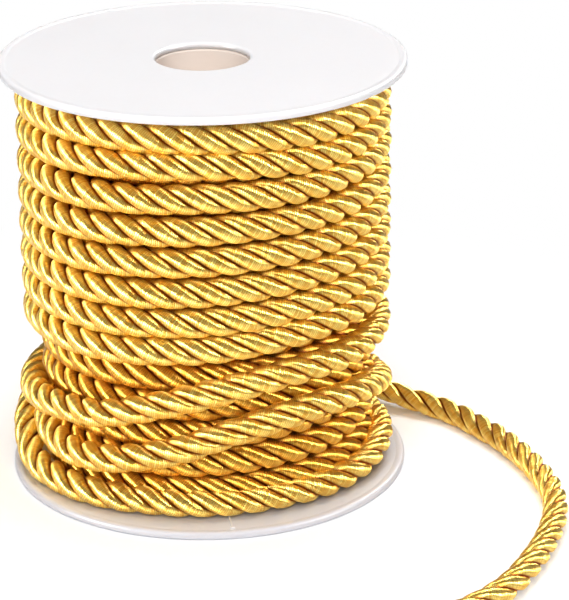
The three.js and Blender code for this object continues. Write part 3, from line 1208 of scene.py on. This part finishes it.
@dataclass
class Winding:
    """All the cord: the neat and slack turns, the layers under them, and the loose end.

    Attributes:
        route: The way the cord takes.
        wound_lay: Length of one turn of the plies on the reel, in millimetres.
        loose_lay: The same in the loose end, where the twist is slacker.
        lap: Length by which stretches run into each other, in millimetres.
        core_radius: Inner radius of the ribs of the layers under the buried one.
        core_swell: How far those ribs stand out.
        core_steps: Faces of the ribs in one pitch.
        core_segments: Faces round the ribs.
        core_gap: Clearance to the tube, in metres.
        core_thread: Centimetres of thread in one radian round the ribs.
    """

    route: WindingRoute = field(default_factory=WindingRoute)
    wound_lay: float = 12.8
    loose_lay: float = 13.5
    lap: float = 0.6
    core_radius: float = 21.6
    core_swell: float = 1.6
    core_steps: int = 6
    core_segments: int = 72
    core_gap: float = 0.0003
    core_thread: float = 2.2

    def outer(self, tree: PlyTree, yarn: bpy.types.Material) -> list[bpy.types.Object]:
        """Makes the neat turns, the slack turns and the loose end.

        Args:
            tree: The node tree that lays the plies.
            yarn: Their material.

        Returns:
            The three mesh objects.
        """
        line, slack_at, loose_at = self.route.whole()
        neat_line = part_of(line, 0.0, slack_at + self.lap)
        neat = CordStretch("neat_turns", neat_line, self.wound_lay, step=0.66)
        slack_phase = neat.phase + (slack_at - self.lap) / self.wound_lay
        slack_line = part_of(line, slack_at - self.lap, loose_at + self.lap)
        slack = CordStretch(
            "slack_turns", slack_line, self.wound_lay, slack_phase, step=0.5, sides=14, seed=11.0
        )
        loose_phase = slack_phase + (loose_at - slack_at) / self.wound_lay
        loose_line = part_of(line, loose_at - self.lap, line.length)
        loose = CordStretch(
            "loose_cord", loose_line, self.loose_lay, loose_phase,
            step=0.4, sides=16, wander=0.04, seed=23.0, tip=1.1,
        )
        pieces = [stretch.build(tree, yarn) for stretch in (neat, slack, loose)]
        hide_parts("wound_cord")
        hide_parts("loose_end")
        return pieces

    def buried(self, tree: PlyTree, yarn: bpy.types.Material) -> bpy.types.Object:
        """Makes the layer that shows in the gaps.

        Args:
            tree: The node tree that lays the plies.
            yarn: Its material.

        Returns:
            The mesh object.
        """
        line = self.route.buried()
        stretch = CordStretch(
            "buried_turns", line, self.wound_lay, step=1.0, sides=8, wander=0.15, seed=37.0
        )
        return stretch.build(tree, yarn)

    def core(self, yarn: bpy.types.Material) -> bpy.types.Object:
        """Makes the layers under the buried one as a ribbed sleeve.

        Args:
            yarn: Their material.

        Returns:
            The mesh object.
        """
        low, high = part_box("wound_cord")
        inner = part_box("reel_hub")[1].x + self.core_gap
        outline = [(inner, low.z)]
        pitch = self.route.buried_pitch * MM
        steps = int((high.z - low.z) / pitch * self.core_steps)
        for i in range(steps + 1):
            height = low.z + (high.z - low.z) * i / steps
            swell = abs(math.sin(math.pi * (height - low.z) / pitch))
            outline.append(((self.core_radius + self.core_swell * swell) * MM, height))
        outline.append((inner, high.z))
        made = turned("core_turns", outline, self.core_segments, yarn)
        layer = made.data.uv_layers.new(name="UVMap")
        for loop in made.data.loops:
            point = made.data.vertices[loop.vertex_index].co
            along = math.atan2(point.y, point.x) * self.core_thread
            layer.data[loop.index].uv = (along, point.z / pitch)
        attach(made, "root")
        log.info("%s: radius %.1f mm", made.name, self.core_radius)
        return made


@dataclass(frozen=True)
class Lamp:
    """A square soft light aimed at the reel.

    Attributes:
        name: The light's name.
        place: Where it hangs, in metres.
        size: Length of its side, in metres.
        power: Its power in watts.
        shine: What it does.
        aim: The point it faces, in metres.
    """

    name: str
    place: tuple[float, float, float]
    size: float
    power: float
    shine: Shine
    aim: tuple[float, float, float] = (0.01, 0.0, 0.035)

    def hang(self) -> None:
        """Adds the light to the scene."""
        data = bpy.data.lights.new(self.name, "AREA")
        data.shape = "SQUARE"
        data.size = self.size
        data.energy = self.power
        made = bpy.data.objects.new(self.name, data)
        made.visible_glossy, made.visible_diffuse = self.shine.value
        made.location = self.place
        toward = Vector(self.aim) - Vector(self.place)
        made.rotation_euler = toward.to_track_quat("-Z", "Y").to_euler()
        bpy.context.scene.collection.objects.link(made)


@dataclass
class Studio:
    """The camera, the lights and the pale surface.

    Attributes:
        elevation: Camera height above the horizon, in degrees.
        distance: Distance to the aim, in millimetres.
        aim_height: Height of the aim on the reel's axis, in millimetres.
        aim_pixel: Where the aim falls in the image.
        image: Size of the image in pixels.
        focal: Focal length in pixels.
        roll: Turn about the line of sight, in degrees.
        sensor: Sensor width of the long side, in millimetres.
        surround: Brightness of the surround on the object.
        surface_reach: Half the width of the pale surface, in metres.
        fade: Distances from the axis where its fade to white starts and ends, in metres.
        lamps: Two wide lamps light the matt faces, and three small ones shine in the thread.
    """

    elevation: float = 20.93
    distance: float = 460.3
    aim_height: float = 32.5
    aim_pixel: tuple[float, float] = (206.5, 273.0)
    image: tuple[int, int] = (569, 600)
    focal: float = 2819.3
    roll: float = -1.06
    sensor: float = 36.0
    surround: float = 0.06
    surface_reach: float = 3.0
    fade: tuple[float, float] = (0.03, 0.12)
    lamps: tuple[Lamp, ...] = (
        Lamp("overhead", (0.06, 0.02, 1.20), 0.9, 14.5, Shine.SCATTERED),
        Lamp("front_fill", (-0.10, -1.00, 0.75), 0.8, 11.0, Shine.SCATTERED),
        Lamp("left_box", (-0.82, -0.38, 0.20), 0.36, 20.0, Shine.MIRRORED),
        Lamp("right_box", (0.80, -0.34, 0.44), 0.18, 14.0, Shine.MIRRORED),
        Lamp("back_box", (0.42, 0.72, 0.72), 0.22, 9.5, Shine.MIRRORED),
    )

    def camera(self) -> bpy.types.Object:
        """Makes the camera at the photograph's place.

        Returns:
            The camera object.
        """
        rise = math.radians(self.elevation)
        aim = Vector((0.0, 0.0, self.aim_height))
        place = aim + self.distance * Vector((0.0, -math.cos(rise), math.sin(rise)))
        ahead = (aim - place).normalized()
        right = Vector((1.0, 0.0, 0.0))
        up = right.cross(ahead)
        off = Vector(
            (
                (self.aim_pixel[0] - self.image[0] / 2) / self.focal,
                -(self.aim_pixel[1] - self.image[1] / 2) / self.focal,
                1.0,
            )
        )
        swing = off.rotation_difference(Vector((0.0, 0.0, 1.0))).to_matrix()
        axes = Matrix((right, up, ahead)).transposed()
        axes = axes @ Matrix.Rotation(math.radians(self.roll), 3, "Z") @ swing
        data = bpy.data.cameras.new("camera")
        data.sensor_width = self.sensor
        data.lens = self.focal * self.sensor / max(self.image)
        data.clip_start, data.clip_end = 0.01, 20.0
        made = bpy.data.objects.new("camera", data)
        facing = Matrix((axes.col[0], axes.col[1], -axes.col[2])).transposed()
        made.matrix_world = Matrix.Translation(place * MM) @ facing.to_4x4()
        bpy.context.scene.collection.objects.link(made)
        bpy.context.scene.camera = made
        return made

    def lights(self) -> None:
        """Adds the lamps, and a surround that is dim but for the camera, which sees it white."""
        for lamp in self.lamps:
            lamp.hang()
        world = bpy.data.worlds.new("surround")
        world.use_nodes = True
        sheet = NodeSheet(world.node_tree)
        seen = sheet.node("ShaderNodeLightPath").outputs["Is Camera Ray"]
        dim = coloured(self.surround, self.surround, self.surround)
        shade = sheet.mix(seen, dim, coloured(1.0, 1.0, 1.0))
        sheet.feed(world.node_tree.nodes["Background"].inputs["Color"], shade)
        bpy.context.scene.world = world
        bpy.context.scene.view_settings.view_transform = "Standard"

    def surface(self) -> bpy.types.Object:
        """Makes the pale surface under the reel, which fades to plain white far from it.

        Returns:
            The mesh object.
        """
        mesh = bpy.data.meshes.new("pale_surface")
        reach = self.surface_reach
        corners = [(-reach, -reach, 0), (reach, -reach, 0), (reach, reach, 0), (-reach, reach, 0)]
        mesh.from_pydata(corners, [], [(0, 1, 2, 3)])
        made = bpy.data.objects.new("pale_surface", mesh)
        material, sheet, shader = new_material("pale_surface")
        shader.inputs["Base Color"].default_value = coloured(0.93, 0.94, 0.96)
        shader.inputs["Roughness"].default_value = 1.0
        shader.inputs["Specular IOR Level"].default_value = 0.1
        place = sheet.node("ShaderNodeTexCoord").outputs["Object"]
        away = sheet.tree.nodes.new("ShaderNodeVectorMath")
        away.operation = "LENGTH"
        sheet.feed(away.inputs[0], place)
        seen = sheet.node("ShaderNodeLightPath").outputs["Is Camera Ray"]
        far = sheet.ramp(away.outputs["Value"], *self.fade, 0.0, 1.0)
        fade = sheet.sum("MULTIPLY", seen, far)
        plain = sheet.node("ShaderNodeEmission", Color=coloured(1.0, 1.0, 1.0), Strength=1.0)
        blend = sheet.tree.nodes.new("ShaderNodeMixShader")
        for socket, value in zip(blend.inputs, (fade, shader.outputs[0], plain.outputs[0])):
            sheet.feed(socket, value)
        sheet.feed(sheet.tree.nodes["Material Output"].inputs["Surface"], blend.outputs[0])
        mesh.materials.append(material)
        bpy.context.scene.collection.objects.link(made)
        return made


def main() -> None:
    """Builds the scene, piece by piece."""
    logging.basicConfig(level=logging.INFO, format="%(name)s: %(message)s")
    studio = Studio()
    studio.camera()
    tree = PlyTree()
    threads = ThreadGroup()
    yarn = GoldYarn().build(threads)
    # A darker copy of the yarn is painted shade for the buried turns and the core, which lie in the
    # outer turns' shadow
    painted_shade_yarn = GoldYarn(
        name="gold_yarn_painted_shade",
        shadow=(0.14, 0.022, 0.0002),
        body=(0.53, 0.19, 0.004),
        light=(0.87, 0.54, 0.09),
    ).build(threads)
    winding = Winding()
    winding.outer(tree, yarn)
    winding.buried(tree, painted_shade_yarn)
    winding.core(painted_shade_yarn)
    moulded = MouldGroup()
    plastic = ReelFace(
        name="white_moulded_plastic", dull=(0.765, 0.75, 0.76), clear=(0.79, 0.775, 0.785),
        roughness=0.36, spread=0.03, relief=0.03, glow=0.15,
    ).build(moulded)
    # A darker, bluer copy of the plastic is painted shade on the lower flange under the cord and top
    # flange, tinted against the gold light it picks up
    painted_shade_plastic = ReelFace(
        name="white_plastic_painted_shade", dull=(0.655, 0.65, 0.69), clear=(0.68, 0.675, 0.715),
        roughness=0.40, spread=0.03, relief=0.03, glow=0.15,
    ).build(moulded)
    board = ReelFace(
        name="beige_tube", dull=(0.92, 0.79, 0.70), clear=(0.95, 0.85, 0.77),
        roughness=0.75, spread=0.08, relief=0.05, glow=0.0,
    ).build(moulded)
    reel = Reel()
    reel.flange("reel_flange_bottom", painted_shade_plastic)
    reel.gate(plastic)
    reel.flange("reel_flange_top", plastic)
    reel.hub(board)
    studio.lights()
    studio.surface()


if __name__ == "__main__":
    main()
